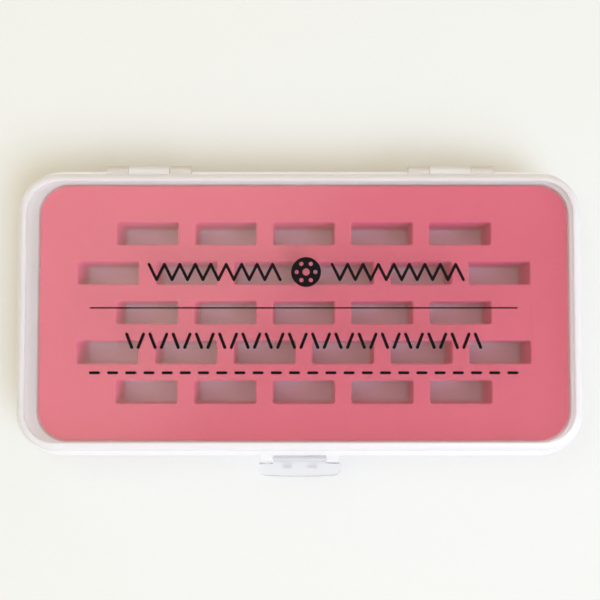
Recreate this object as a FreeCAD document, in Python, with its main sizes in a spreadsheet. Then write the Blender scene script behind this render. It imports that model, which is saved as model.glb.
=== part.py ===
"""Hinged bobbin box: tray, lid, slotted foam insert, latch flap and pins. Millimetres, +Z up."""
import FreeCAD
import Part
import Sketcher
import math
import os

# Driving sizes: the value and what it measures.
SIZES = [
    ("foam_length", 224.0, "foam block along X"),
    ("foam_width", 108.0, "foam block along Y"),
    ("foam_height", 20.0, "foam block along Z"),
    ("foam_corner", 12.5, "foam plan corner radius"),
    ("foam_edge", 0.6, "rounding of the foam's top edge"),
    ("slot_length", 26.0, "bobbin slot along X"),
    ("slot_width", 9.7, "bobbin slot along Y"),
    ("slot_corner", 0.9, "slot plan corner radius"),
    ("slot_pitch_x", 33.2, "slot spacing in a row"),
    ("slot_pitch_y", 16.8, "spacing of the rows"),
    ("short_count", 5, "slots in a short row"),
    ("short_rows", 3, "short rows"),
    ("foam_gap", 0.5, "play between foam and tray wall"),
    ("end_stop", 3.3, "extra thickness of the tray's left end wall"),
    ("tray_wall", 1.6, "tray wall"),
    ("tray_floor", 1.6, "tray floor"),
    ("tray_foot", 2.5, "rounding of the tray's bottom edge"),
    ("lip_rise", 0.8, "tray wall above the foam"),
    ("skirt_gap", 0.3, "play between tray wall and lid skirt"),
    ("skirt_wall", 1.6, "lid skirt"),
    ("lid_top", 1.6, "lid top plate"),
    ("lid_crown", 4.0, "rounding of the lid's top edge"),
    ("headroom", 6.8, "space between foam and lid"),
    ("flange_reach", 2.5, "flange beyond the lid skirt"),
    ("flange_thick", 1.8, "thickness of each flange"),
    ("flange_level", 16.5, "underside of the tray flange"),
    ("flange_edge", 0.5, "rounding of the flange edges"),
    ("parting_gap", 0.2, "gap between the two flanges"),
    ("hinge_offset", 64.5, "hinge centre from the middle"),
    ("tray_knuckle", 9.0, "length of one tray knuckle"),
    ("lid_knuckle", 17.4, "length of the lid knuckle"),
    ("knuckle_radius", 2.4, "outer radius of the knuckles"),
    ("knuckle_gap", 0.3, "play around and between knuckles"),
    ("hinge_reach", 0.3, "hinge axis beyond the flange edge"),
    ("hinge_pin_radius", 1.0, "hinge pin radius"),
    ("hinge_pin_inset", 0.5, "hinge pin end inside the knuckle"),
    ("pin_grip", 0.02, "play of a pin where it is held"),
    ("pin_play", 0.06, "play of a pin where it turns"),
    ("latch_reach", 1.5, "latch axis beyond the flange edge"),
    ("latch_rise", 0.9, "latch axis above the lid flange underside"),
    ("barrel_radius", 1.5, "latch barrel and lug radius"),
    ("barrel_gap", 0.3, "play around the latch barrel"),
    ("neck_width", 22.2, "latch neck and barrel along X"),
    ("lug_width", 5.1, "one latch lug along X"),
    ("lug_corner", 2.5, "plan corner radius of a lug"),
    ("latch_pin_radius", 0.7, "latch pin radius"),
    ("latch_pin_inset", 1.0, "latch pin end inside the lug"),
    ("flap_width", 34.8, "latch flap along X"),
    ("flap_length", 8.4, "latch axis to the flap's edge"),
    ("flap_thick", 1.4, "latch flap thickness"),
    ("flap_neck", 2.1, "latch axis to the flap's shoulders"),
    ("flap_bow", 0.6, "bulge of the flap's edge"),
    ("flap_corner", 3.6, "rounding of the flap's outer corners"),
    ("shoulder_corner", 1.0, "rounding of the flap's shoulders"),
    ("tooth_width", 4.2, "hook tooth along X"),
    ("tooth_offset", 5.3, "hook tooth centre from the middle"),
    ("tooth_bite", 0.9, "hook tooth under the tray flange"),
    ("tooth_gap", 0.2, "play between tooth and tray flange"),
    ("tooth_depth", 1.4, "hook tooth height at its root"),
    ("latch_open", 65.0, "turn of the flap from closed to its rest pose"),
]

doc = FreeCAD.newDocument("bobbin_box")
sheet = doc.addObject("Spreadsheet::Sheet", "Sizes")
for row, (alias, value, note) in enumerate(SIZES, start=1):
    sheet.set(f"A{row}", note)
    sheet.set(f"B{row}", str(value))
    sheet.setAlias(f"B{row}", alias)
doc.recompute()

NAMES = sorted((alias for alias, _, _ in SIZES), key=len, reverse=True)


def bound(formula):
    """The formula as an expression on the sheet's cells."""
    words = []
    word = ""
    for letter in formula + " ":
        if letter.isalnum() or letter in "_.":
            word += letter
            continue
        words.append(f"Sizes.{word}" if word in NAMES else word)
        words.append(letter)
        word = ""
    return "".join(words).strip()


def number(formula):
    """What the formula comes to with the sheet's present values."""
    result = sheet.evalExpression(bound(formula))
    return float(getattr(result, "Value", result))


# Outline of each layer of the box, from the foam outwards.
STEP = {}
STEP["foam"] = "0"
STEP["cavity"] = "(foam_gap)"
STEP["tray"] = "(foam_gap + tray_wall)"
STEP["skirt_in"] = "(foam_gap + tray_wall + skirt_gap)"
STEP["skirt"] = "(foam_gap + tray_wall + skirt_gap + skirt_wall)"
STEP["flange"] = "(foam_gap + tray_wall + skirt_gap + skirt_wall + flange_reach)"

# The tray's left end wall is thicker by the stop, so the foam lies right of the middle.
BOX_LENGTH = "(foam_length + end_stop)"
FOAM_SHIFT = "(end_stop / 2)"

# Levels along Z.
FOAM_TOP = "(tray_floor + foam_height)"
LIP_TOP = f"({FOAM_TOP} + lip_rise)"
TRAY_FLANGE_TOP = "(flange_level + flange_thick)"
LID_BOTTOM = f"({TRAY_FLANGE_TOP} + parting_gap)"
LID_TOP = f"({FOAM_TOP} + headroom + lid_top)"

# Hinge and latch axes, both along X.
FLANGE_HALF = f"(foam_width / 2 + {STEP['flange']})"
TRAY_HALF = f"(foam_width / 2 + {STEP['tray']})"
SKIRT_HALF = f"(foam_width / 2 + {STEP['skirt']})"
HINGE_Y = f"({FLANGE_HALF} + hinge_reach)"
HINGE_Z = f"({TRAY_FLANGE_TOP} + parting_gap / 2)"
LATCH_Y = f"(-1 * ({FLANGE_HALF} + latch_reach))"
LATCH_Z = f"({LID_BOTTOM} + latch_rise)"
HINGE_WIDTH = "(lid_knuckle + 2 * knuckle_gap + 2 * tray_knuckle)"
RELIEF = "(knuckle_radius + knuckle_gap)"


def new_body(label):
    """An empty body with its label."""
    body = doc.addObject("PartDesign::Body", label)
    body.Label = label
    return body


def plane(body, role):
    """One of the body's own origin planes."""
    return next(item for item in body.Origin.OriginFeatures if item.Role == role)


def new_sketch(body, name, role, offset="0"):
    """A sketch on an origin plane, moved along the plane's normal."""
    sketch = body.newObject("Sketcher::SketchObject", name)
    sketch.AttachmentSupport = (plane(body, role), [""])
    sketch.MapMode = "FlatFace"
    sketch.setExpression("AttachmentOffset.Base.z", bound(offset))
    return sketch


def hold(sketch, kind, items, formula):
    """A dimension on the sketch, bound to the sheet."""
    index = sketch.addConstraint(Sketcher.Constraint(kind, *items, number(formula)))
    sketch.setExpression(f"Constraints[{index}]", bound(formula))


def hold_point(sketch, item, end, across, up):
    """Both coordinates of one point, bound to the sheet."""
    for kind, formula in (("DistanceX", across), ("DistanceY", up)):
        hold(sketch, kind, (-1, 1, item, end), formula)


def rounded_rectangle(sketch, length, width, radius, centre=("0", "0")):
    """Four lines and four arcs with bound length, width, corner radius and centre."""
    half_x = number(f"{length} / 2")
    half_y = number(f"{width} / 2")
    corner = number(radius)
    mid_x = number(centre[0])
    mid_y = number(centre[1])

    def at(x, y):
        return FreeCAD.Vector(mid_x + x, mid_y + y, 0)

    flat_x = half_x - corner
    flat_y = half_y - corner
    sides = [
        Part.LineSegment(at(-flat_x, -half_y), at(flat_x, -half_y)),
        Part.LineSegment(at(half_x, -flat_y), at(half_x, flat_y)),
        Part.LineSegment(at(flat_x, half_y), at(-flat_x, half_y)),
        Part.LineSegment(at(-half_x, flat_y), at(-half_x, -flat_y)),
    ]
    middles = [(flat_x, -flat_y), (flat_x, flat_y), (-flat_x, flat_y), (-flat_x, -flat_y)]
    normal = FreeCAD.Vector(0, 0, 1)
    for side in sides:
        sketch.addGeometry(side)
    for turn, (x, y) in enumerate(middles):
        start = math.pi / 2 * (turn - 1)
        circle = Part.Circle(at(x, y), normal, corner)
        sketch.addGeometry(Part.ArcOfCircle(circle, start, start + math.pi / 2))
    for turn in range(4):
        sketch.addConstraint(Sketcher.Constraint("Tangent", turn, 2, 4 + turn, 1))
        sketch.addConstraint(Sketcher.Constraint("Tangent", 4 + turn, 2, (turn + 1) % 4, 1))
    for turn, kind in enumerate(("Horizontal", "Vertical", "Horizontal", "Vertical")):
        sketch.addConstraint(Sketcher.Constraint(kind, turn))
    for turn in range(1, 4):
        sketch.addConstraint(Sketcher.Constraint("Equal", 4, 4 + turn))
    hold(sketch, "Radius", (4,), radius)
    hold(sketch, "DistanceX", (3, 2, 1, 1), length)
    hold(sketch, "DistanceY", (0, 1, 2, 1), width)
    hold(sketch, "DistanceX", (-1, 1, 1, 1), f"{centre[0]} + {length} / 2")
    hold(sketch, "DistanceY", (-1, 1, 2, 1), f"{centre[1]} + {width} / 2")


def polygon(sketch, corners):
    """A closed outline of straight lines through bound corners."""
    points = [FreeCAD.Vector(number(across), number(up), 0) for across, up in corners]
    count = len(points)
    for index in range(count):
        sketch.addGeometry(Part.LineSegment(points[index], points[(index + 1) % count]))
    for index in range(count):
        sketch.addConstraint(Sketcher.Constraint("Coincident", index, 2, (index + 1) % count, 1))
    for index, (across, up) in enumerate(corners):
        hold_point(sketch, index, 1, across, up)


def circle(sketch, across, up, radius):
    """A circle with bound centre and radius."""
    middle = FreeCAD.Vector(number(across), number(up), 0)
    sketch.addGeometry(Part.Circle(middle, FreeCAD.Vector(0, 0, 1), number(radius)))
    hold_point(sketch, 0, 3, across, up)
    hold(sketch, "Radius", (0,), radius)


def eye_with_web(sketch, middle, radius, corners, start, end):
    """An arc about a bound centre, closed by straight lines through bound corners.

    The arc runs counter-clockwise from the last corner to the first, whose directions from the
    centre are start and end in degrees.
    """
    points = [FreeCAD.Vector(number(across), number(up), 0) for across, up in corners]
    centre = FreeCAD.Vector(number(middle[0]), number(middle[1]), 0)
    ring = Part.Circle(centre, FreeCAD.Vector(0, 0, 1), number(radius))
    sketch.addGeometry(Part.ArcOfCircle(ring, math.radians(start), math.radians(end)))
    for first, second in zip(points, points[1:]):
        sketch.addGeometry(Part.LineSegment(first, second))
    count = len(points)
    sketch.addConstraint(Sketcher.Constraint("Coincident", 0, 2, 1, 1))
    for index in range(1, count - 1):
        sketch.addConstraint(Sketcher.Constraint("Coincident", index, 2, index + 1, 1))
    sketch.addConstraint(Sketcher.Constraint("Coincident", count - 1, 2, 0, 1))
    hold_point(sketch, 0, 3, *middle)
    hold(sketch, "Radius", (0,), radius)
    for index, (across, up) in enumerate(corners[1:-1], start=2):
        hold_point(sketch, index, 1, across, up)
    for end_point, corner, angle in ((2, corners[0], end), (1, corners[-1], start)):
        if abs(math.sin(math.radians(angle))) > abs(math.cos(math.radians(angle))):
            hold(sketch, "DistanceX", (-1, 1, 0, end_point), corner[0])
        else:
            hold(sketch, "DistanceY", (-1, 1, 0, end_point), corner[1])


def add_feature(body, kind, name, sketch, length, middle=False, reverse=False):
    """A pad or a pocket of the sketch with a bound length."""
    feature = body.newObject(f"PartDesign::{kind}", name)
    feature.Profile = sketch
    feature.Midplane = middle
    feature.Reversed = reverse
    feature.setExpression("Length", bound(length))
    sketch.Visibility = False
    body.Tip = feature
    doc.recompute()
    return feature


def round_edges(body, name, radius, wanted):
    """Rounds the edges of the body that the test picks."""
    base = body.Tip
    picked = [f"Edge{index}" for index, edge in enumerate(base.Shape.Edges, start=1) if wanted(edge)]
    fillet = body.newObject("PartDesign::Fillet", name)
    fillet.Base = (base, picked)
    fillet.setExpression("Radius", bound(radius))
    body.Tip = fillet
    doc.recompute()
    return fillet


def at_level(level, outside=None):
    """Picks flat edges at one level, or only those farther out than a given distance in X or Y."""
    height = number(level)
    reach = number(outside) if outside else None

    def wanted(edge):
        box = edge.BoundBox
        flat = abs(box.ZMin - height) < 1e-4 and abs(box.ZMax - height) < 1e-4
        if reach is None:
            return flat
        middle = edge.CenterOfMass
        beyond_x = abs(middle.x) > number(f"{BOX_LENGTH} / 2") + reach
        beyond_y = abs(middle.y) > number("foam_width / 2") + reach
        in_corner = edge.Curve.TypeId == "Part::GeomCircle"
        centre = FreeCAD.Vector(
            number(f"{BOX_LENGTH} / 2 - foam_corner"), number("foam_width / 2 - foam_corner"), middle.z
        )
        spread = FreeCAD.Vector(abs(middle.x), abs(middle.y), middle.z).sub(centre).Length
        beyond_corner = in_corner and spread > number("foam_corner") + reach * 0.5
        return flat and (beyond_x or beyond_y or beyond_corner)

    return wanted


def layer_sketch(body, name, layer, level):
    """The rounded outline of one layer of the box at a level."""
    sketch = new_sketch(body, name, "XY_Plane", level)
    step = STEP[layer]
    width = f"(foam_width + 2 * {step})"
    corner = f"(foam_corner + {step})"
    if layer in ("foam", "cavity"):
        rounded_rectangle(sketch, f"(foam_length + 2 * {step})", width, corner, (FOAM_SHIFT, "0"))
    else:
        rounded_rectangle(sketch, f"({BOX_LENGTH} + 2 * {step})", width, corner)
    return sketch


def bar_along_x(body, kind, name, start, length, middle, radius):
    """A round bar, added or cut, from start to start + length along X."""
    sketch = new_sketch(body, f"{name}_sketch", "YZ_Plane", start)
    circle(sketch, *middle, radius)
    return add_feature(body, kind, name, sketch, length, reverse=(kind == "Pocket"))


HINGES = (("left", "-1"), ("right", "1"))
HINGE_AXIS = (HINGE_Y, HINGE_Z)
LATCH_AXIS = (LATCH_Y, LATCH_Z)

# Tray: block, flange, cavity, hinge knuckles.
tray = new_body("base_tray")
add_feature(tray, "Pad", "tray_block", layer_sketch(tray, "tray_outline", "tray", "0"), LIP_TOP)
round_edges(tray, "tray_foot_round", "tray_foot", at_level("0"))
flange_sketch = layer_sketch(tray, "tray_flange_outline", "flange", "flange_level")
add_feature(tray, "Pad", "tray_flange", flange_sketch, "flange_thick")
tray_under = at_level("flange_level", STEP["skirt"])
tray_over = at_level(TRAY_FLANGE_TOP, STEP["skirt"])
round_edges(tray, "tray_flange_round", "flange_edge", lambda edge: tray_under(edge) or tray_over(edge))
cavity_sketch = layer_sketch(tray, "tray_cavity_outline", "cavity", LIP_TOP)
add_feature(tray, "Pocket", "tray_cavity", cavity_sketch, f"{LIP_TOP} - tray_floor")
round_edges(tray, "tray_cavity_round", "foam_gap", at_level("tray_floor"))
for side, sign in HINGES:
    middle = f"({sign} * hinge_offset)"
    bar_along_x(
        tray,
        "Pocket",
        f"tray_relief_{side}",
        f"{middle} - lid_knuckle / 2 - knuckle_gap",
        "lid_knuckle + 2 * knuckle_gap",
        HINGE_AXIS,
        RELIEF,
    )
    for end, start in (
        ("inner", f"{middle} - {HINGE_WIDTH} / 2"),
        ("outer", f"{middle} + {HINGE_WIDTH} / 2 - tray_knuckle"),
    ):
        sketch = new_sketch(tray, f"tray_knuckle_{side}_{end}_outline", "YZ_Plane", start)
        eye_with_web(
            sketch,
            HINGE_AXIS,
            "knuckle_radius",
            [
                (f"{HINGE_Y} - knuckle_radius", HINGE_Z),
                (f"{TRAY_HALF} - tray_wall / 2", HINGE_Z),
                (f"{TRAY_HALF} - tray_wall / 2", f"{HINGE_Z} - knuckle_radius"),
                (HINGE_Y, f"{HINGE_Z} - knuckle_radius"),
            ],
            -90,
            180,
        )
        add_feature(tray, "Pad", f"tray_knuckle_{side}_{end}", sketch, "tray_knuckle")
    bar_along_x(
        tray,
        "Pocket",
        f"tray_bore_{side}",
        f"{middle} - {HINGE_WIDTH} / 2",
        HINGE_WIDTH,
        HINGE_AXIS,
        "hinge_pin_radius + pin_grip",
    )

# Lid: crowned block, flange, hollow, hinge knuckles, latch lugs.
lid = new_body("lid")
cover_sketch = layer_sketch(lid, "lid_outline", "skirt", LID_BOTTOM)
add_feature(lid, "Pad", "lid_block", cover_sketch, f"{LID_TOP} - {LID_BOTTOM}")
round_edges(lid, "lid_crown_round", "lid_crown", at_level(LID_TOP))
flange_sketch = layer_sketch(lid, "lid_flange_outline", "flange", LID_BOTTOM)
add_feature(lid, "Pad", "lid_flange", flange_sketch, "flange_thick")
lid_under = at_level(LID_BOTTOM, STEP["skirt"])
lid_over = at_level(f"{LID_BOTTOM} + flange_thick", STEP["skirt"])
round_edges(lid, "lid_flange_round", "flange_edge", lambda edge: lid_under(edge) or lid_over(edge))
hollow_sketch = layer_sketch(lid, "lid_hollow_outline", "skirt_in", LID_BOTTOM)
hollow_depth = f"{LID_TOP} - lid_top - {LID_BOTTOM}"
add_feature(lid, "Pocket", "lid_hollow", hollow_sketch, hollow_depth, reverse=True)
round_edges(lid, "lid_hollow_round", "lid_crown - skirt_wall", at_level(f"{LID_TOP} - lid_top"))
for side, sign in HINGES:
    middle = f"({sign} * hinge_offset)"
    for end, start in (
        ("inner", f"{middle} - {HINGE_WIDTH} / 2 - knuckle_gap"),
        ("outer", f"{middle} + {HINGE_WIDTH} / 2 - tray_knuckle - knuckle_gap"),
    ):
        bar_along_x(
            lid,
            "Pocket",
            f"lid_relief_{side}_{end}",
            start,
            "tray_knuckle + 2 * knuckle_gap",
            HINGE_AXIS,
            RELIEF,
        )
    sketch = new_sketch(lid, f"lid_knuckle_{side}_outline", "YZ_Plane", f"{middle} - lid_knuckle / 2")
    reach = "sqrt(knuckle_radius * knuckle_radius - parting_gap * parting_gap / 4)"
    eye_with_web(
        sketch,
        HINGE_AXIS,
        "knuckle_radius",
        [
            (HINGE_Y, f"{HINGE_Z} + knuckle_radius"),
            (f"{SKIRT_HALF} - skirt_wall / 2", f"{HINGE_Z} + knuckle_radius"),
            (f"{SKIRT_HALF} - skirt_wall / 2", LID_BOTTOM),
            (f"{HINGE_Y} - {reach}", LID_BOTTOM),
        ],
        180 - math.degrees(math.asin(number("parting_gap / 2 / knuckle_radius"))),
        360 + 90,
    )
    add_feature(lid, "Pad", f"lid_knuckle_{side}", sketch, "lid_knuckle")
    bar_along_x(
        lid,
        "Pocket",
        f"lid_bore_{side}",
        f"{middle} - lid_knuckle / 2",
        "lid_knuckle",
        HINGE_AXIS,
        "hinge_pin_radius + pin_play",
    )
bar_along_x(
    lid,
    "Pocket",
    "latch_relief",
    "-1 * neck_width / 2 - barrel_gap",
    "neck_width + 2 * barrel_gap",
    LATCH_AXIS,
    "barrel_radius + barrel_gap",
)
LUG_IN = "(neck_width / 2 + barrel_gap)"
LUG_OUT = f"({LUG_IN} + lug_width)"
LUG_FRONT = f"({LATCH_Y} - barrel_radius)"
for side, start in (("left", f"-1 * {LUG_OUT}"), ("right", LUG_IN)):
    sketch = new_sketch(lid, f"latch_lug_{side}_outline", "YZ_Plane", start)
    foot = "sqrt(barrel_radius * barrel_radius - latch_rise * latch_rise)"
    eye_with_web(
        sketch,
        LATCH_AXIS,
        "barrel_radius",
        [
            (f"{LATCH_Y} + {foot}", LID_BOTTOM),
            (f"-1 * {SKIRT_HALF} + skirt_wall / 2", LID_BOTTOM),
            (f"-1 * {SKIRT_HALF} + skirt_wall / 2", f"{LATCH_Z} + barrel_radius"),
            (LATCH_Y, f"{LATCH_Z} + barrel_radius"),
        ],
        90,
        360 - math.degrees(math.asin(number("latch_rise / barrel_radius"))),
    )
    add_feature(lid, "Pad", f"latch_lug_{side}", sketch, "lug_width")
for side, sign in HINGES:
    sketch = new_sketch(lid, f"latch_lug_{side}_corner", "XY_Plane", f"{LATCH_Z} + 2 * barrel_radius")
    edge = f"{sign} * {LUG_OUT}"
    inner = f"{sign} * ({LUG_OUT} - lug_corner)"
    far = f"{sign} * ({LUG_OUT} + lug_corner)"
    front = f"{LUG_FRONT} - lug_corner"
    if sign == "1":
        ends = [(edge, f"{LUG_FRONT} + lug_corner"), (far, f"{LUG_FRONT} + lug_corner"), (far, front)]
        ends += [(inner, front), (inner, LUG_FRONT)]
        start_angle, end_angle = -90, 0
    else:
        ends = [(inner, LUG_FRONT), (inner, front), (far, front)]
        ends += [(far, f"{LUG_FRONT} + lug_corner"), (edge, f"{LUG_FRONT} + lug_corner")]
        start_angle, end_angle = 180, 270
    centre = (inner, f"{LUG_FRONT} + lug_corner")
    eye_with_web(sketch, centre, "lug_corner", ends, start_angle, end_angle)
    add_feature(lid, "Pocket", f"latch_lug_{side}_round", sketch, "4 * barrel_radius")
PIN_HALF = f"({LUG_OUT} - latch_pin_inset)"
bar_along_x(
    lid,
    "Pocket",
    "latch_bore",
    f"-1 * {PIN_HALF}",
    f"2 * {PIN_HALF}",
    LATCH_AXIS,
    "latch_pin_radius + pin_grip",
)

# Foam: block with the two sets of staggered slots.
foam = new_body("foam_block")
foam_sketch = layer_sketch(foam, "foam_outline", "foam", "tray_floor")
add_feature(foam, "Pad", "foam_block", foam_sketch, "foam_height")
round_edges(foam, "foam_edge_round", "foam_edge", at_level(FOAM_TOP))
for name, count, rows in (
    ("short", "short_count", "short_rows"),
    ("long", "(short_count + 1)", "(short_rows - 1)"),
):
    sketch = new_sketch(foam, f"slot_{name}_outline", "XY_Plane", FOAM_TOP)
    first_x = f"({FOAM_SHIFT} - ({count} - 1) / 2 * slot_pitch_x)"
    first = (first_x, f"(-1 * ({rows} - 1) * slot_pitch_y)")
    rounded_rectangle(sketch, "slot_length", "slot_width", "slot_corner", first)
    slot = add_feature(foam, "Pocket", f"slot_{name}", sketch, "foam_height")
    spread = foam.newObject("PartDesign::MultiTransform", f"slots_{name}")
    spread.Originals = [slot]
    along = foam.newObject("PartDesign::LinearPattern", f"slots_{name}_along")
    along.Direction = (sketch, ["H_Axis"])
    along.setExpression("Length", bound(f"({count} - 1) * slot_pitch_x"))
    along.setExpression("Occurrences", bound(count))
    across = foam.newObject("PartDesign::LinearPattern", f"slots_{name}_across")
    across.Direction = (sketch, ["V_Axis"])
    across.setExpression("Length", bound(f"2 * ({rows} - 1) * slot_pitch_y"))
    across.setExpression("Occurrences", bound(rows))
    spread.Transformations = [along, across]
    foam.Tip = spread
    doc.recompute()

# The one foam block is kept as touching tiles, cut through the slots, so that each stays a plain form.
COLUMNS = (
    ("left", f"({FOAM_SHIFT} - foam_length / 2)", "(foam_length / 2 - slot_pitch_x)"),
    ("middle", f"({FOAM_SHIFT} - slot_pitch_x)", "(2 * slot_pitch_x)"),
    ("right", f"({FOAM_SHIFT} + slot_pitch_x)", "(foam_length / 2 - slot_pitch_x)"),
)
tiles = []
for column, start, length in COLUMNS:
    for half, front in (("front", "(-1 * foam_width / 2)"), ("back", "0")):
        box = doc.addObject("Part::Box", f"foam_zone_{column}_{half}")
        box.setExpression("Length", bound(length))
        box.setExpression("Width", bound("foam_width / 2"))
        box.setExpression("Height", bound("foam_height"))
        box.setExpression("Placement.Base.x", bound(start))
        box.setExpression("Placement.Base.y", bound(front))
        box.setExpression("Placement.Base.z", bound("tray_floor"))
        tile = doc.addObject("Part::Common", f"foam_tile_{column}_{half}")
        tile.Base = foam
        tile.Tool = box
        tiles.append(tile)
foam_insert = doc.addObject("Part::Compound", "foam_insert")
foam_insert.Label = "foam_insert"
foam_insert.Links = tiles
doc.recompute()

# Latch, drawn closed about its own axis and then turned out to its rest pose.
latch = new_body("latch")
OWN_AXIS = ("0", "0")
bar_along_x(latch, "Pad", "latch_barrel", "-1 * neck_width / 2", "neck_width", OWN_AXIS, "barrel_radius")
sketch = new_sketch(latch, "latch_flap_outline", "XZ_Plane")
polygon(
    sketch,
    [
        ("-1 * neck_width / 2", "0"),
        ("-1 * neck_width / 2", "-1 * flap_neck"),
        ("-1 * flap_width / 2", "-1 * flap_neck"),
        ("-1 * flap_width / 2", "-1 * flap_length + flap_bow"),
        ("-1 * flap_width / 6", "-1 * flap_length"),
        ("flap_width / 6", "-1 * flap_length"),
        ("flap_width / 2", "-1 * flap_length + flap_bow"),
        ("flap_width / 2", "-1 * flap_neck"),
        ("neck_width / 2", "-1 * flap_neck"),
        ("neck_width / 2", "0"),
    ],
)
add_feature(latch, "Pad", "latch_flap", sketch, "flap_thick", middle=True)


def upright_at(across, up):
    """Picks the flap's edges that run through its thickness at a corner."""
    x = number(across)
    z = number(up)

    def wanted(edge):
        box = edge.BoundBox
        level = abs(box.ZMin - z) < 1e-3 and abs(box.ZMax - z) < 1e-3
        place = abs(abs(box.XMin) - x) < 1e-3 and abs(abs(box.XMax) - x) < 1e-3
        return level and place

    return wanted


flap_corners = upright_at("flap_width / 2", "-1 * flap_length + flap_bow")
round_edges(latch, "flap_corner_round", "flap_corner", flap_corners)
flap_shoulders = upright_at("flap_width / 2", "-1 * flap_neck")
round_edges(latch, "flap_shoulder_round", "shoulder_corner", flap_shoulders)
TOOTH_TOP = f"({LATCH_Z} - flange_level + tooth_gap)"
for side, sign in HINGES:
    start = f"{sign} * tooth_offset - tooth_width / 2"
    sketch = new_sketch(latch, f"latch_tooth_{side}_outline", "YZ_Plane", start)
    polygon(
        sketch,
        [
            ("0", f"-1 * {TOOTH_TOP}"),
            ("0", f"-1 * {TOOTH_TOP} - tooth_depth - flap_thick / 2"),
            ("flap_thick / 2", f"-1 * {TOOTH_TOP} - tooth_depth"),
            ("latch_reach + tooth_bite", f"-1 * {TOOTH_TOP} - tooth_depth / 2"),
            ("latch_reach + tooth_bite", f"-1 * {TOOTH_TOP}"),
        ],
    )
    add_feature(latch, "Pad", f"latch_tooth_{side}", sketch, "tooth_width")
bar_along_x(
    latch,
    "Pocket",
    "latch_bore",
    "-1 * neck_width / 2",
    "neck_width",
    OWN_AXIS,
    "latch_pin_radius + pin_play",
)
turn_axis = "create(<<vector>>; 1; 0; 0)"
seat = f"create(<<vector>>; 0; {bound(LATCH_Y)}; {bound(LATCH_Z)})"
turn = f"create(<<rotation>>; {turn_axis}; {bound('-1 * latch_open')})"
latch.setExpression("Placement", f"create(<<placement>>; {seat}; {turn})")

# Pins.
latch_pin = new_body("latch_pin")
bar_along_x(
    latch_pin,
    "Pad",
    "latch_pin_bar",
    f"-1 * {PIN_HALF}",
    f"2 * {PIN_HALF}",
    LATCH_AXIS,
    "latch_pin_radius",
)
pins = []
for side, sign in HINGES:
    pin = new_body(f"hinge_pin_{side}")
    bar_along_x(
        pin,
        "Pad",
        f"hinge_pin_{side}_bar",
        f"{sign} * hinge_offset - {HINGE_WIDTH} / 2 + hinge_pin_inset",
        f"{HINGE_WIDTH} - 2 * hinge_pin_inset",
        HINGE_AXIS,
        "hinge_pin_radius",
    )
    pins.append(pin)

doc.recompute()
pieces = [tray, lid, foam_insert, latch, latch_pin] + pins
for item in doc.Objects:
    if "Invalid" in item.State or "Error" in item.State:
        raise RuntimeError(f"{item.Label} failed to recompute")
os.makedirs("parts", exist_ok=True)
for piece in pieces:
    shape = piece.Shape
    wanted = len(tiles) if piece is foam_insert else 1
    if shape.isNull() or not shape.isValid() or len(shape.Solids) != wanted:
        raise RuntimeError(f"{piece.Label} is not made of valid solids")
    shape.exportStep(f"parts/{piece.Label}.step")
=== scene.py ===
"""Looks of the bobbin box: milky plastic, slotted foam, lid print, floor, light and camera."""
import math

import bpy
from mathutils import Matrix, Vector


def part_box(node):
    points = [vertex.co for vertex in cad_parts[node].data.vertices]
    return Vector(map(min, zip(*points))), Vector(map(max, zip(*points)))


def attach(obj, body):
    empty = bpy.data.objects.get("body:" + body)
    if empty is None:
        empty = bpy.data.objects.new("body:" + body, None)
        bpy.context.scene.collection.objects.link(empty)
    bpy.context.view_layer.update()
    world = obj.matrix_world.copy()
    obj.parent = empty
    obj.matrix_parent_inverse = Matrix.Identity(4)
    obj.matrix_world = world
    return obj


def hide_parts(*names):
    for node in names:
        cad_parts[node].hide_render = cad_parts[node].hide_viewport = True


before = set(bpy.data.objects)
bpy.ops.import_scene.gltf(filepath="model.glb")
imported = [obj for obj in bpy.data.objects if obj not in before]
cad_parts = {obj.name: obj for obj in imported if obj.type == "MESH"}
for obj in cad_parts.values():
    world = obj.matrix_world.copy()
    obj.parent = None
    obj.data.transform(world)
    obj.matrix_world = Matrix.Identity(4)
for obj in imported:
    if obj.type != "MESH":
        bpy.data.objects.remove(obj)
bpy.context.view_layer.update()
LID_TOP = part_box("lid")[1][2]

MM = 0.001

# Foam insert, in metres.
FOAM_CORNER = 12.5 * MM
FOAM_CORNER_STEPS = 12
FOAM_SOFT_EDGE = 0.55 * MM
SOFT_EDGE_STEPS = 3
SOFT_EDGE_ANGLE = math.radians(50.0)
SLOT_LENGTH = 26.0 * MM
SLOT_WIDTH = 9.7 * MM
SLOT_CORNER = 0.9 * MM
SLOT_CORNER_STEPS = 4
SLOT_PITCH = 33.2 * MM
ROW_PITCH = 16.8 * MM
SHORT_ROW = 5
SHORT_ROWS = 3

# Where the plastic changes, in metres: just under the lid's ceiling, just over the tray floor.
LID_CEILING = 28.0 * MM
TRAY_FLOOR_TOP = 1.65 * MM
# The z of a normal over which a lid face is flat, and under which a foam face is upright.
FLAT_ENOUGH = 0.995
UPRIGHT_BELOW = 0.5

# Lid print, in metres: the ink and its gap to the lid, the print's middle along the lid, the middle line
# of each row, and the places of the top row's pieces from that middle.
INK_THICKNESS = 0.03 * MM
INK_LIFT = INK_THICKNESS * 0.2
PRINT_MIDDLE = 1.7 * MM
PRINT_TOP_ROW = 16.2 * MM
PRINT_RULE = 1.3 * MM
PRINT_MIDDLE_ROW = -12.3 * MM
PRINT_LOW_ROW = -25.5 * MM
ZIGZAG_LEFT = -36.9 * MM
ZIGZAG_RIGHT = 39.0 * MM
MARK_SHIFT = 1.0 * MM

# Shares of a dash's width and of its ink: the rounding of its ends, the step over its neighbour.
DASH_ROUNDING = 0.49
DASH_OVERLAP = 0.3
DASH_CORNER_STEPS = 5

# Points closer than this are one, in metres.
WELD_DISTANCE = 1e-6

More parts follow.
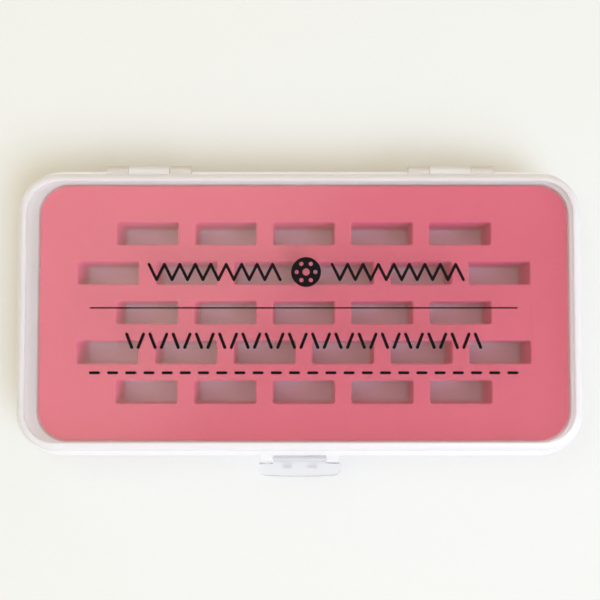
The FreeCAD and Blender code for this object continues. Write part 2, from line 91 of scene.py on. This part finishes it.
# Gloss shared by all the plastic, and the height of its ripple in metres.
PLASTIC_IOR = 1.49
PLASTIC_GLOSS = 0.25
SCRATCH_SPREAD = 0.08
RIPPLE_HEIGHT = 0.0002

# Foam: the colour of its upright cut faces, a brighter, more saturated pink than the top: painted bounce
# light in the slots.
FOAM_UPRIGHT_BOUNCE_PINK = (0.83, 0.085, 0.225, 1.0)

# How far cells and slow drift darken a grain.
CELL_SHARE = 0.55
DRIFT_SHARE = 0.6

# Table, in metres: half of its side, and its gap under the box.
TABLE_REACH = 3.0
TABLE_GAP = 0.0001

# Kinds of group input.
NUMBER = "NodeSocketFloat"
COUNT = "NodeSocketInt"
COLOR = "NodeSocketColor"


# Node helpers


def add_node(tree, kind, inputs=None, **settings):
    """A node with its settings and the plain values of its inputs."""
    node = tree.nodes.new(kind)
    for name, value in settings.items():
        setattr(node, name, value)
    for name, value in (inputs or {}).items():
        node.inputs[name].default_value = value
    return node


def link(tree, source, target):
    """Joins an output to an input."""
    tree.links.new(source, target)


def math_node(tree, operation, first, second=0.0):
    """One or two values, each a socket or a number, through one operation."""
    node = add_node(tree, "ShaderNodeMath", operation=operation)
    for socket, value in zip(node.inputs, (first, second)):
        if isinstance(value, bpy.types.NodeSocket):
            link(tree, value, socket)
        else:
            socket.default_value = value
    return node.outputs[0]


def open_socket(tree, name, kind, way, value=None):
    """A named socket on a group's interface."""
    socket = tree.interface.new_socket(name=name, in_out=way, socket_type=kind)
    if value is not None:
        socket.default_value = value


# Shared surface effects


def make_moulded_surface():
    """Shader group: soft flow marks, fine scratches and a faint ripple of moulded plastic."""
    tree = bpy.data.node_groups.new("moulded_surface", "ShaderNodeTree")
    open_socket(tree, "Base Roughness", NUMBER, "INPUT", 0.15)
    open_socket(tree, "Roughness Spread", NUMBER, "INPUT", 0.06)
    open_socket(tree, "Tint", COLOR, "INPUT", (0.93, 0.93, 0.93, 1.0))
    open_socket(tree, "Cloud Tint", COLOR, "INPUT", (0.88, 0.88, 0.88, 1.0))
    open_socket(tree, "Color", COLOR, "OUTPUT")
    open_socket(tree, "Roughness", NUMBER, "OUTPUT")
    open_socket(tree, "Height", NUMBER, "OUTPUT")
    group_in = add_node(tree, "NodeGroupInput")
    group_out = add_node(tree, "NodeGroupOutput")
    place = add_node(tree, "ShaderNodeTexCoord")

    flow = add_node(tree, "ShaderNodeTexNoise", {"Scale": 22.0, "Detail": 3.0, "Roughness": 0.5})
    link(tree, place.outputs["Object"], flow.inputs["Vector"])
    tint = add_node(tree, "ShaderNodeMix", data_type="RGBA")
    link(tree, flow.outputs["Fac"], tint.inputs["Factor"])
    link(tree, group_in.outputs["Tint"], tint.inputs["A"])
    link(tree, group_in.outputs["Cloud Tint"], tint.inputs["B"])
    link(tree, tint.outputs["Result"], group_out.inputs["Color"])

    stretch = add_node(tree, "ShaderNodeMapping", {"Scale": (90.0, 1400.0, 90.0)})
    link(tree, place.outputs["Object"], stretch.inputs["Vector"])
    scratch = add_node(tree, "ShaderNodeTexNoise", {"Scale": 1.0, "Detail": 4.0, "Roughness": 0.65})
    link(tree, stretch.outputs["Vector"], scratch.inputs["Vector"])
    spread = math_node(tree, "MULTIPLY", scratch.outputs["Fac"], group_in.outputs["Roughness Spread"])
    roughness = math_node(tree, "ADD", spread, group_in.outputs["Base Roughness"])
    link(tree, roughness, group_out.inputs["Roughness"])

    ripple = add_node(tree, "ShaderNodeTexNoise", {"Scale": 160.0, "Detail": 2.0, "Roughness": 0.4})
    link(tree, place.outputs["Object"], ripple.inputs["Vector"])
    link(tree, ripple.outputs["Fac"], group_out.inputs["Height"])
    return tree


def make_fine_grain():
    """Shader group: closed-cell grain with its pores, and slow colour drift."""
    tree = bpy.data.node_groups.new("fine_grain", "ShaderNodeTree")
    open_socket(tree, "Grain Scale", NUMBER, "INPUT", 1500.0)
    open_socket(tree, "Light Color", COLOR, "INPUT", (0.8, 0.8, 0.8, 1.0))
    open_socket(tree, "Dark Color", COLOR, "INPUT", (0.6, 0.6, 0.6, 1.0))
    open_socket(tree, "Color", COLOR, "OUTPUT")
    open_socket(tree, "Height", NUMBER, "OUTPUT")
    group_in = add_node(tree, "NodeGroupInput")
    group_out = add_node(tree, "NodeGroupOutput")
    place = add_node(tree, "ShaderNodeTexCoord")

    cells = add_node(tree, "ShaderNodeTexVoronoi", feature="F1")
    link(tree, place.outputs["Object"], cells.inputs["Vector"])
    link(tree, group_in.outputs["Grain Scale"], cells.inputs["Scale"])
    drift = add_node(tree, "ShaderNodeTexNoise", {"Scale": 30.0, "Detail": 4.0, "Roughness": 0.55})
    link(tree, place.outputs["Object"], drift.inputs["Vector"])
    from_cells = math_node(tree, "MULTIPLY", cells.outputs["Distance"], CELL_SHARE)
    from_drift = math_node(tree, "MULTIPLY", drift.outputs["Fac"], DRIFT_SHARE)
    clamp = add_node(tree, "ShaderNodeClamp")
    link(tree, math_node(tree, "ADD", from_cells, from_drift), clamp.inputs["Value"])
    tint = add_node(tree, "ShaderNodeMix", data_type="RGBA")
    link(tree, clamp.outputs["Result"], tint.inputs["Factor"])
    link(tree, group_in.outputs["Light Color"], tint.inputs["A"])
    link(tree, group_in.outputs["Dark Color"], tint.inputs["B"])
    link(tree, tint.outputs["Result"], group_out.inputs["Color"])
    link(tree, cells.outputs["Distance"], group_out.inputs["Height"])
    return tree


MOULDED_SURFACE = make_moulded_surface()
FINE_GRAIN = make_fine_grain()


# Materials


def new_material(name):
    """An empty node material, its Principled shader and its output."""
    material = bpy.data.materials.new(name)
    material.use_nodes = True
    tree = material.node_tree
    tree.nodes.clear()
    shader = add_node(tree, "ShaderNodeBsdfPrincipled")
    output = add_node(tree, "ShaderNodeOutputMaterial")
    link(tree, shader.outputs["BSDF"], output.inputs["Surface"])
    return material, tree, shader, output


def place_group(tree, group, inputs):
    """One of the shared effects with this material's own values."""
    node = add_node(tree, "ShaderNodeGroup", node_tree=group)
    for name, value in inputs.items():
        node.inputs[name].default_value = value
    return node


def add_bump(tree, shader, height, strength, distance):
    """A bump from a height into the shader's normal."""
    bump = add_node(tree, "ShaderNodeBump", {"Strength": strength, "Distance": distance})
    link(tree, height, bump.inputs["Height"])
    link(tree, bump.outputs["Normal"], shader.inputs["Normal"])


def make_milky_plastic(name, clearness, roughness, tint, cloud, through_tint, ripple):
    """Translucent moulded plastic that lets lamplight through to what lies inside."""
    material, tree, shader, output = new_material(name)
    surface = place_group(
        tree,
        MOULDED_SURFACE,
        {
            "Base Roughness": roughness,
            "Roughness Spread": SCRATCH_SPREAD,
            "Tint": tint,
            "Cloud Tint": cloud,
        },
    )
    link(tree, surface.outputs["Color"], shader.inputs["Base Color"])
    link(tree, surface.outputs["Roughness"], shader.inputs["Roughness"])
    add_bump(tree, shader, surface.outputs["Height"], strength=ripple, distance=RIPPLE_HEIGHT)
    shader.inputs["IOR"].default_value = PLASTIC_IOR
    shader.inputs["Specular IOR Level"].default_value = PLASTIC_GLOSS
    shader.inputs["Transmission Weight"].default_value = clearness
    through = add_node(tree, "ShaderNodeBsdfTransparent", {"Color": through_tint})
    rays = add_node(tree, "ShaderNodeLightPath")
    mix = add_node(tree, "ShaderNodeMixShader")
    link(tree, rays.outputs["Is Shadow Ray"], mix.inputs["Fac"])
    link(tree, shader.outputs["BSDF"], mix.inputs[1])
    link(tree, through.outputs["BSDF"], mix.inputs[2])
    link(tree, mix.outputs["Shader"], output.inputs["Surface"])
    return material


def make_foam_pink():
    """Closed-cell foam: matte, finely pored, with slow drift in its pink, and a stronger pink painted on
    its upright cut faces as bounce light in the slots.
    """
    material, tree, shader, _ = new_material("foam_pink")
    grain = place_group(
        tree,
        FINE_GRAIN,
        {
            "Grain Scale": 1100.0,
            "Light Color": (0.73, 0.108, 0.163, 1.0),
            "Dark Color": (0.65, 0.084, 0.139, 1.0),
        },
    )
    place = add_node(tree, "ShaderNodeTexCoord")
    facing = add_node(tree, "ShaderNodeSeparateXYZ")
    link(tree, place.outputs["Normal"], facing.inputs["Vector"])
    flatness = math_node(tree, "ABSOLUTE", facing.outputs["Z"])
    upright = math_node(tree, "LESS_THAN", flatness, UPRIGHT_BELOW)
    # Upright faces get the brighter, more saturated pink: painted bounce light on the slot walls.
    tint = add_node(tree, "ShaderNodeMix", {"B": FOAM_UPRIGHT_BOUNCE_PINK}, data_type="RGBA")
    link(tree, upright, tint.inputs["Factor"])
    link(tree, grain.outputs["Color"], tint.inputs["A"])
    link(tree, tint.outputs["Result"], shader.inputs["Base Color"])
    add_bump(tree, shader, grain.outputs["Height"], strength=0.35, distance=0.0003)
    shader.inputs["Roughness"].default_value = 0.9
    shader.inputs["Specular IOR Level"].default_value = 0.25
    return material


def make_print_ink():
    """Black screen-print ink, slightly uneven."""
    material, tree, shader, _ = new_material("print_ink")
    surface = place_group(
        tree,
        MOULDED_SURFACE,
        {
            "Base Roughness": 0.5,
            "Roughness Spread": 0.2,
            "Tint": (0.006, 0.005, 0.006, 1.0),
            "Cloud Tint": (0.012, 0.010, 0.011, 1.0),
        },
    )
    link(tree, surface.outputs["Color"], shader.inputs["Base Color"])
    link(tree, surface.outputs["Roughness"], shader.inputs["Roughness"])
    add_bump(tree, shader, surface.outputs["Height"], strength=0.1, distance=0.0001)
    shader.inputs["Specular IOR Level"].default_value = 0.06
    return material


def make_table_top():
    """Pale matte table with the faintest unevenness."""
    material, tree, shader, _ = new_material("table_top")
    grain = place_group(
        tree,
        FINE_GRAIN,
        {
            "Grain Scale": 700.0,
            "Light Color": (0.91, 0.91, 0.91, 1.0),
            "Dark Color": (0.89, 0.89, 0.89, 1.0),
        },
    )
    link(tree, grain.outputs["Color"], shader.inputs["Base Color"])
    shader.inputs["Roughness"].default_value = 0.9
    shader.inputs["Specular IOR Level"].default_value = 0.05
    return material


# Colour of the lamplight that each kind of plastic lets through.
CLEAR_LIGHT = (0.87, 0.865, 0.87, 1.0)
SOFT_LIGHT = (0.91, 0.88, 0.83, 1.0)
WARM_LIGHT = (0.74, 0.67, 0.55, 1.0)
LID_PLASTIC = make_milky_plastic(
    "lid_plastic",
    clearness=0.986,
    roughness=0.14,
    tint=(0.98, 0.975, 0.97, 1.0),
    cloud=(0.95, 0.945, 0.945, 1.0),
    through_tint=CLEAR_LIGHT,
    ripple=0.03,
)
RIM_PLASTIC = make_milky_plastic(
    "rim_plastic",
    clearness=0.45,
    roughness=0.3,
    tint=(0.99, 0.965, 0.97, 1.0),
    cloud=(0.97, 0.945, 0.95, 1.0),
    through_tint=SOFT_LIGHT,
    ripple=0.01,
)
TRAY_PLASTIC = make_milky_plastic(
    "tray_plastic",
    clearness=0.55,
    roughness=0.3,
    tint=(0.97, 0.925, 0.90, 1.0),
    cloud=(0.95, 0.905, 0.88, 1.0),
    through_tint=WARM_LIGHT,
    ripple=0.01,
)
# Tray floor: milky plastic whose pink tint is painted bounce light from the foam's slot walls.
FLOOR_BOUNCE_PINK_PLASTIC = make_milky_plastic(
    "tray_floor_bounce_pink",
    clearness=0.05,
    roughness=0.45,
    tint=(0.99, 0.84, 0.95, 1.0),
    cloud=(0.98, 0.82, 0.93, 1.0),
    through_tint=WARM_LIGHT,
    ripple=0.02,
)
LATCH_PLASTIC = make_milky_plastic(
    "latch_plastic",
    clearness=0.7,
    roughness=0.2,
    tint=(0.91, 0.895, 0.905, 1.0),
    cloud=(0.88, 0.865, 0.875, 1.0),
    through_tint=CLEAR_LIGHT,
    ripple=0.02,
)
FOAM_PINK = make_foam_pink()
PRINT_INK = make_print_ink()


# Geometry trees


def finish_tree(tree, geometry, material):
    """Realizes the instances, sets the material and joins the result to the group's output."""
    realize = add_node(tree, "GeometryNodeRealizeInstances")
    link(tree, geometry, realize.inputs["Geometry"])
    paint = add_node(tree, "GeometryNodeSetMaterial", {"Material": material})
    link(tree, realize.outputs["Geometry"], paint.inputs["Geometry"])
    output = add_node(tree, "NodeGroupOutput")
    link(tree, paint.outputs["Geometry"], output.inputs["Geometry"])


def new_geometry_tree(name, inputs):
    """A geometry tree with named sizes, and its input node."""
    tree = bpy.data.node_groups.new(name, "GeometryNodeTree")
    open_socket(tree, "Geometry", "NodeSocketGeometry", "OUTPUT")
    for label, kind, value in inputs:
        open_socket(tree, label, kind, "INPUT", value)
    return tree, add_node(tree, "NodeGroupInput")


def rounded_outline(tree, length, width, corner, steps):
    """A rectangle curve with rounded corners."""
    shape = add_node(tree, "GeometryNodeCurvePrimitiveQuadrilateral")
    link(tree, length, shape.inputs["Width"])
    link(tree, width, shape.inputs["Height"])
    fillet = add_node(tree, "GeometryNodeFilletCurve", {"Count": steps}, mode="POLY")
    link(tree, shape.outputs["Curve"], fillet.inputs["Curve"])
    link(tree, corner, fillet.inputs["Radius"])
    return fillet.outputs["Curve"]


def raise_outline(tree, curves, height):
    """Fills flat curves and thickens them upwards into a closed solid."""
    fill = add_node(tree, "GeometryNodeFillCurve", mode="TRIANGLES")
    link(tree, curves, fill.inputs["Curve"])
    up = add_node(tree, "ShaderNodeCombineXYZ")
    link(tree, height, up.inputs["Z"])
    whole = {"Individual": False, "Offset Scale": 1.0}
    raised = add_node(tree, "GeometryNodeExtrudeMesh", whole, mode="FACES")
    link(tree, fill.outputs["Mesh"], raised.inputs["Mesh"])
    link(tree, up.outputs["Vector"], raised.inputs["Offset"])
    under = add_node(tree, "GeometryNodeFlipFaces")
    link(tree, fill.outputs["Mesh"], under.inputs["Mesh"])
    both = add_node(tree, "GeometryNodeJoinGeometry")
    link(tree, raised.outputs["Mesh"], both.inputs["Geometry"])
    link(tree, under.outputs["Mesh"], both.inputs["Geometry"])
    weld = add_node(tree, "GeometryNodeMergeByDistance", {"Distance": WELD_DISTANCE})
    link(tree, both.outputs["Geometry"], weld.inputs["Geometry"])
    return weld.outputs["Geometry"]


def slot_centres(tree, sizes, count, rows):
    """A grid of points, one for each slot of a set of rows."""
    grid = add_node(tree, "GeometryNodeMeshGrid", {"Vertices X": count, "Vertices Y": rows})
    row_length = math_node(tree, "MULTIPLY", sizes.outputs["Slot Pitch"], count - 1.0)
    link(tree, row_length, grid.inputs["Size X"])
    rows_width = math_node(tree, "MULTIPLY", sizes.outputs["Row Pitch"], 2.0 * (rows - 1))
    link(tree, rows_width, grid.inputs["Size Y"])
    return grid.outputs["Mesh"]


def make_slotted_block_tree():
    """Geometry tree: a rounded block with staggered rows of slots through it."""
    tree, sizes = new_geometry_tree(
        "slotted_block",
        [
            ("Length", NUMBER, 0.2),
            ("Width", NUMBER, 0.1),
            ("Height", NUMBER, 0.02),
            ("Corner", NUMBER, 0.01),
            ("Slot Length", NUMBER, 0.02),
            ("Slot Width", NUMBER, 0.01),
            ("Slot Corner", NUMBER, 0.001),
            ("Slot Pitch", NUMBER, 0.03),
            ("Row Pitch", NUMBER, 0.01),
        ],
    )
    out = sizes.outputs
    outline = rounded_outline(tree, out["Length"], out["Width"], out["Corner"], FOAM_CORNER_STEPS)
    slot = rounded_outline(
        tree, out["Slot Length"], out["Slot Width"], out["Slot Corner"], SLOT_CORNER_STEPS
    )
    both_sets = add_node(tree, "GeometryNodeJoinGeometry")
    link(tree, slot_centres(tree, sizes, SHORT_ROW, SHORT_ROWS), both_sets.inputs["Geometry"])
    link(tree, slot_centres(tree, sizes, SHORT_ROW + 1, SHORT_ROWS - 1), both_sets.inputs["Geometry"])
    spread = add_node(tree, "GeometryNodeInstanceOnPoints")
    link(tree, both_sets.outputs["Geometry"], spread.inputs["Points"])
    link(tree, slot, spread.inputs["Instance"])
    slots = add_node(tree, "GeometryNodeRealizeInstances")
    link(tree, spread.outputs["Instances"], slots.inputs["Geometry"])
    curves = add_node(tree, "GeometryNodeJoinGeometry")
    link(tree, outline, curves.inputs["Geometry"])
    link(tree, slots.outputs["Geometry"], curves.inputs["Geometry"])
    block = raise_outline(tree, curves.outputs["Geometry"], out["Height"])
    finish_tree(tree, block, FOAM_PINK)
    return tree


def make_stitch_row_tree():
    """Geometry tree: a row of rounded dashes, each turned one way and the next the other."""
    tree, sizes = new_geometry_tree(
        "stitch_row",
        [
            ("Count", COUNT, 10),
            ("Row Length", NUMBER, 0.1),
            ("Dash Length", NUMBER, 0.004),
            ("Dash Width", NUMBER, 0.001),
            ("Turn", NUMBER, 0.0),
            ("Thickness", NUMBER, INK_THICKNESS),
        ],
    )
    out = sizes.outputs
    half = math_node(tree, "MULTIPLY", out["Row Length"], 0.5)
    start = add_node(tree, "ShaderNodeCombineXYZ")
    link(tree, math_node(tree, "MULTIPLY", half, -1.0), start.inputs["X"])
    end = add_node(tree, "ShaderNodeCombineXYZ")
    link(tree, half, end.inputs["X"])
    row = add_node(tree, "GeometryNodeMeshLine", mode="END_POINTS")
    link(tree, out["Count"], row.inputs["Count"])
    link(tree, start.outputs["Vector"], row.inputs["Start Location"])
    link(tree, end.outputs["Vector"], row.inputs["Offset"])
    corner = math_node(tree, "MULTIPLY", out["Dash Width"], DASH_ROUNDING)
    outline = rounded_outline(tree, out["Dash Length"], out["Dash Width"], corner, DASH_CORNER_STEPS)
    dash = raise_outline(tree, outline, out["Thickness"])
    index = add_node(tree, "GeometryNodeInputIndex")
    odd = math_node(tree, "MODULO", index.outputs["Index"], 2.0)
    way = math_node(tree, "SUBTRACT", math_node(tree, "MULTIPLY", odd, 2.0), 1.0)
    turn = add_node(tree, "ShaderNodeCombineXYZ")
    link(tree, math_node(tree, "MULTIPLY", way, out["Turn"]), turn.inputs["Z"])
    overlap = math_node(tree, "MULTIPLY", out["Thickness"], DASH_OVERLAP)
    lift = add_node(tree, "ShaderNodeCombineXYZ")
    link(tree, math_node(tree, "MULTIPLY", odd, overlap), lift.inputs["Z"])
    layered = add_node(tree, "GeometryNodeSetPosition")
    link(tree, row.outputs["Mesh"], layered.inputs["Geometry"])
    link(tree, lift.outputs["Vector"], layered.inputs["Offset"])
    spread = add_node(tree, "GeometryNodeInstanceOnPoints")
    link(tree, layered.outputs["Geometry"], spread.inputs["Points"])
    link(tree, dash, spread.inputs["Instance"])
    link(tree, turn.outputs["Vector"], spread.inputs["Rotation"])
    finish_tree(tree, spread.outputs["Instances"], PRINT_INK)
    return tree


def make_bobbin_mark_tree():
    """Geometry tree: a flat disc with a hub hole and a ring of small holes."""
    tree, sizes = new_geometry_tree(
        "bobbin_mark",
        [
            ("Radius", NUMBER, 0.006),
            ("Hub Radius", NUMBER, 0.0015),
            ("Hole Radius", NUMBER, 0.001),
            ("Ring Radius", NUMBER, 0.004),
            ("Holes", COUNT, 6),
            ("Thickness", NUMBER, INK_THICKNESS),
        ],
    )
    out = sizes.outputs
    flat = add_node(tree, "GeometryNodeJoinGeometry")
    for label, steps in (("Radius", 48), ("Hub Radius", 24)):
        ring = add_node(tree, "GeometryNodeCurvePrimitiveCircle", {"Resolution": steps})
        link(tree, out[label], ring.inputs["Radius"])
        link(tree, ring.outputs["Curve"], flat.inputs["Geometry"])
    hole = add_node(tree, "GeometryNodeCurvePrimitiveCircle", {"Resolution": 16})
    link(tree, out["Hole Radius"], hole.inputs["Radius"])
    hole_ring = add_node(tree, "GeometryNodeMeshCircle", fill_type="NONE")
    link(tree, out["Holes"], hole_ring.inputs["Vertices"])
    link(tree, out["Ring Radius"], hole_ring.inputs["Radius"])
    spread = add_node(tree, "GeometryNodeInstanceOnPoints")
    link(tree, hole_ring.outputs["Mesh"], spread.inputs["Points"])
    link(tree, hole.outputs["Curve"], spread.inputs["Instance"])
    holes = add_node(tree, "GeometryNodeRealizeInstances")
    link(tree, spread.outputs["Instances"], holes.inputs["Geometry"])
    link(tree, holes.outputs["Geometry"], flat.inputs["Geometry"])
    disc = raise_outline(tree, flat.outputs["Geometry"], out["Thickness"])
    finish_tree(tree, disc, PRINT_INK)
    return tree


def mesh_from_tree(tree, name, sizes):
    """The plain mesh that a geometry tree makes with these sizes."""
    holder = bpy.data.objects.new(name, bpy.data.meshes.new(name))
    bpy.context.scene.collection.objects.link(holder)
    modifier = holder.modifiers.new("shape", "NODES")
    modifier.node_group = tree
    for item in tree.interface.items_tree:
        if item.item_type == "SOCKET" and item.in_out == "INPUT" and item.name in sizes:
            modifier[item.identifier] = sizes[item.name]
    bpy.context.view_layer.update()
    evaluated = holder.evaluated_get(bpy.context.evaluated_depsgraph_get())
    mesh = bpy.data.meshes.new_from_object(evaluated)
    mesh.name = name
    holder.modifiers.remove(modifier)
    bpy.data.objects.remove(holder)
    return mesh


def show(name, mesh):
    """An object at the origin for a mesh that holds its own place."""
    piece = bpy.data.objects.new(name, mesh)
    bpy.context.scene.collection.objects.link(piece)
    return piece


def shift_mesh(mesh, offset):
    """Moves a mesh's points."""
    for vertex in mesh.vertices:
        vertex.co += offset


# Pieces


def make_foam():
    """The slotted foam with softened cut edges, in the place of its solid."""
    low, high = (Vector(corner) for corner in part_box("foam_insert"))
    size = high - low
    mesh = mesh_from_tree(
        make_slotted_block_tree(),
        "foam_block",
        {
            "Length": size.x,
            "Width": size.y,
            "Height": size.z,
            "Corner": FOAM_CORNER,
            "Slot Length": SLOT_LENGTH,
            "Slot Width": SLOT_WIDTH,
            "Slot Corner": SLOT_CORNER,
            "Slot Pitch": SLOT_PITCH,
            "Row Pitch": ROW_PITCH,
        },
    )
    shift_mesh(mesh, Vector(((low.x + high.x) / 2, (low.y + high.y) / 2, low.z)))
    foam = show("foam_block", mesh)
    soften = foam.modifiers.new("soft_edges", "BEVEL")
    soften.width = FOAM_SOFT_EDGE
    soften.segments = SOFT_EDGE_STEPS
    soften.limit_method = "ANGLE"
    soften.angle_limit = SOFT_EDGE_ANGLE
    soften.use_clamp_overlap = False
    soften.harden_normals = True
    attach(foam, "base")
    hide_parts("foam_insert")


def add_print(name, mesh, middle, level):
    """A printed mesh on the lid's top, with its middle at this place."""
    shift_mesh(mesh, Vector((PRINT_MIDDLE + middle, level, LID_TOP + INK_LIFT)))
    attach(show(name, mesh), "lid")


def add_row(tree, name, level, count, row_length, dash_length, dash_width, turn=0.0, middle=0.0):
    """A printed row of dashes, with their turn in radians."""
    sizes = {
        "Count": count,
        "Row Length": row_length,
        "Dash Length": dash_length,
        "Dash Width": dash_width,
        "Turn": turn,
        "Thickness": INK_THICKNESS,
    }
    add_print(name, mesh_from_tree(tree, name, sizes), middle, level)


def make_print():
    """Rows of plain stitches, a thin rule and a bobbin disc in black ink on the lid's top."""
    tree = make_stitch_row_tree()
    for name, middle in (("print_zigzag_left", ZIGZAG_LEFT), ("print_zigzag_right", ZIGZAG_RIGHT)):
        add_row(
            tree,
            name,
            PRINT_TOP_ROW,
            count=17,
            row_length=51.2 * MM,
            dash_length=8.4 * MM,
            dash_width=1.2 * MM,
            turn=1.110,
            middle=middle,
        )
    add_row(
        tree,
        "print_rule",
        PRINT_RULE,
        count=1,
        row_length=0.0,
        dash_length=177.0 * MM,
        dash_width=0.6 * MM,
    )
    add_row(
        tree,
        "print_whipstitch",
        PRINT_MIDDLE_ROW,
        count=31,
        row_length=144.0 * MM,
        dash_length=7.2 * MM,
        dash_width=1.3 * MM,
        turn=1.2,
    )
    add_row(
        tree,
        "print_running_stitch",
        PRINT_LOW_ROW,
        count=24,
        row_length=172.5 * MM,
        dash_length=4.6 * MM,
        dash_width=1.2 * MM,
    )
    mark = mesh_from_tree(
        make_bobbin_mark_tree(),
        "print_bobbin",
        {
            "Radius": 6.2 * MM,
            "Hub Radius": 1.5 * MM,
            "Hole Radius": 0.9 * MM,
            "Ring Radius": 3.9 * MM,
            "Holes": 6,
            "Thickness": INK_THICKNESS,
        },
    )
    add_print("print_bobbin", mark, MARK_SHIFT, PRINT_TOP_ROW)


def on_lid_rim(face):
    """All of the lid but its clear flat top: crown, skirt, flange, knuckles and lugs."""
    return face.center.z < LID_CEILING or abs(face.normal.z) < FLAT_ENOUGH


def on_tray_floor(face):
    """The tray's flat bottom."""
    return face.center.z < TRAY_FLOOR_TOP


def paint(node, main, other=None, wanted=None):
    """A material on a piece's own solid, and another one on the faces that are wanted."""
    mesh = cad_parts[node].data
    mesh.materials.clear()
    mesh.materials.append(main)
    if other is not None:
        mesh.materials.append(other)
        for face in mesh.polygons:
            face.material_index = int(wanted(face))


def dress_nodes():
    """Better materials on the pieces that keep their solid's shape."""
    paint("base_tray", TRAY_PLASTIC, FLOOR_BOUNCE_PINK_PLASTIC, on_tray_floor)
    paint("lid", LID_PLASTIC, RIM_PLASTIC, on_lid_rim)
    for name in ("latch", "latch_pin", "hinge_pin_left", "hinge_pin_right"):
        paint(name, LATCH_PLASTIC)


# Stage


def make_floor():
    """A wide pale table under the box."""
    mesh = bpy.data.meshes.new("table")
    signs = ((-1, -1), (1, -1), (1, 1), (-1, 1))
    corners = [(x * TABLE_REACH, y * TABLE_REACH, -TABLE_GAP) for x, y in signs]
    mesh.from_pydata(corners, [], [(0, 1, 2, 3)])
    mesh.materials.append(make_table_top())
    show("table", mesh)


def add_lamp(name, place, size, power, tint):
    """A rectangular soft lamp that faces the origin, with its size in metres and its power in watts."""
    lamp = bpy.data.lights.new(name, "AREA")
    lamp.shape = "RECTANGLE"
    lamp.size, lamp.size_y = size
    lamp.energy = power
    lamp.color = tint
    holder = bpy.data.objects.new(name, lamp)
    holder.location = place
    holder.rotation_euler = (-Vector(place)).to_track_quat("-Z", "Y").to_euler()
    bpy.context.scene.collection.objects.link(holder)


def make_light():
    """Soft window light from the front right, a weak warm fill from overhead and an even sky."""
    add_lamp("window", (1.26, -1.35, 1.8), size=(2.0, 1.6), power=53.0, tint=(0.67, 0.80, 1.0))
    add_lamp("fill", (-0.45, 0.3, 1.2), size=(1.0, 0.9), power=2.4, tint=(1.0, 0.92, 0.74))
    world = bpy.data.worlds.new("sky")
    bpy.context.scene.world = world
    world.use_nodes = True
    sky = world.node_tree.nodes["Background"]
    sky.inputs["Color"].default_value = (1.0, 0.91, 0.69, 1.0)
    sky.inputs["Strength"].default_value = 0.59


def make_camera():
    """The camera above the box, at the picture's distance and slight tilt."""
    lens = bpy.data.cameras.new("camera")
    lens.lens = 48.8
    lens.sensor_width = 36.0
    lens.shift_x = -0.0117
    lens.shift_y = 0.0567
    lens.clip_start = 0.01
    camera = bpy.data.objects.new("camera", lens)
    camera.location = (0.0031, -0.023, 0.3656)
    camera.rotation_euler = (math.radians(2.3), 0.0, 0.0)
    bpy.context.scene.collection.objects.link(camera)
    bpy.context.scene.camera = camera


make_foam()
make_print()
dress_nodes()
make_floor()
make_light()
make_camera()
bpy.context.scene.view_settings.view_transform = "Standard"
